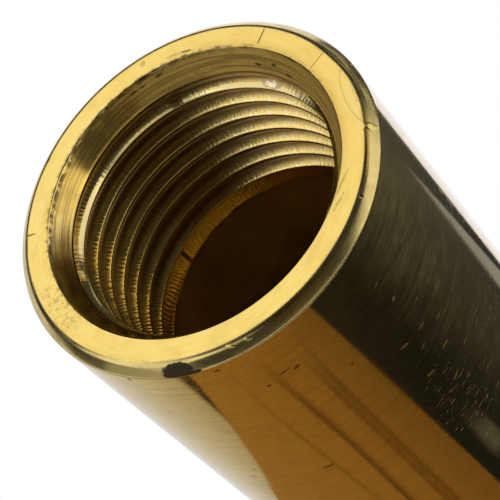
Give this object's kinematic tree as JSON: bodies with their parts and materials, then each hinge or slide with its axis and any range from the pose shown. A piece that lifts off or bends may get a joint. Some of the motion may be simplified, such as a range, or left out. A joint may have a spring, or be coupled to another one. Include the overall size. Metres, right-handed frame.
{
  "type": "thread extension fitting",
  "caption": "Turned brass sleeve with a countersunk pipe-thread socket at one end and a threaded spigot at the other, used to lengthen a pipe connection.",
  "frame": {"origin": "centre of the spigot's end face, on which the fitting stands", "axes": "+Z along the fitting's axis, from the spigot's end to the socket's mouth"},
  "size_m": [0.0264, 0.0264, 0.062],
  "materials": {
    "turned_brass": "bright turned and polished, with light scratches and handling marks"
  },
  "bodies": {
    "root": {"extension_body": "turned_brass"}
  },
  "joints": []
}
